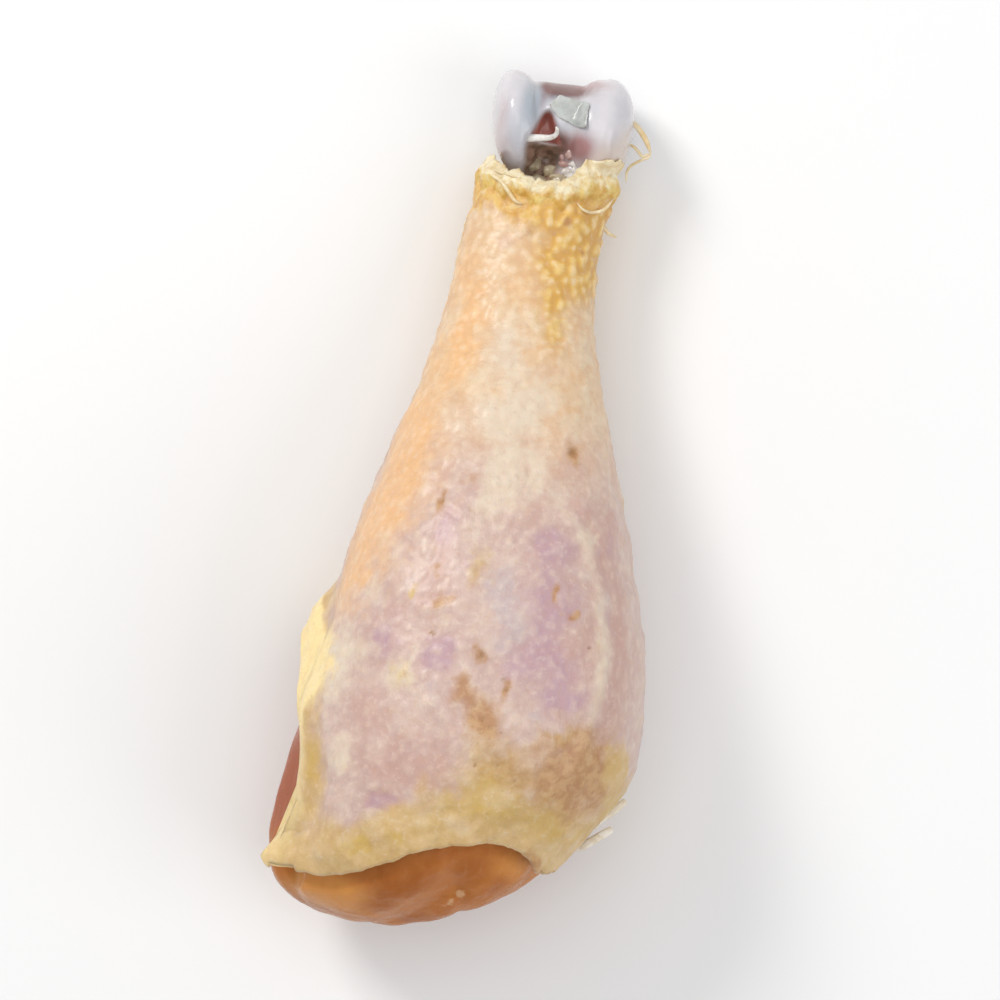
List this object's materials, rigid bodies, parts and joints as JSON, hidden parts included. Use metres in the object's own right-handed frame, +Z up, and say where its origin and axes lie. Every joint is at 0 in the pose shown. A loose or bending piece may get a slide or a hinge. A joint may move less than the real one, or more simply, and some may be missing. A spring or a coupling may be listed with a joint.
{
  "type": "raw chicken drumstick",
  "caption": "Raw drumstick lying on its side: tapering skin open at both ends, bare meat at the fat end, two-wheeled bone knuckle at the thin end.",
  "frame": {"origin": "on the surface that the leg lies on, under the middle of its bounding box", "axes": "+Y along the leg towards the knuckle, +Z up from the surface, +X across, to the right as seen from above with the knuckle at the top"},
  "size_m": [0.0524, 0.1286, 0.0431],
  "materials": {
    "skin": "raw chicken skin, moist, pale pink to yellow",
    "meat": "raw dark chicken meat, wet",
    "bone": "bone with a glossy coat of cartilage",
    "joint_tissue": "cartilage and tendon, moist"
  },
  "bodies": {
    "root": {"skin": "skin", "meat": "meat", "bone": "bone", "cartilage_pad": "joint_tissue", "tendon": "joint_tissue"}
  },
  "joints": []
}
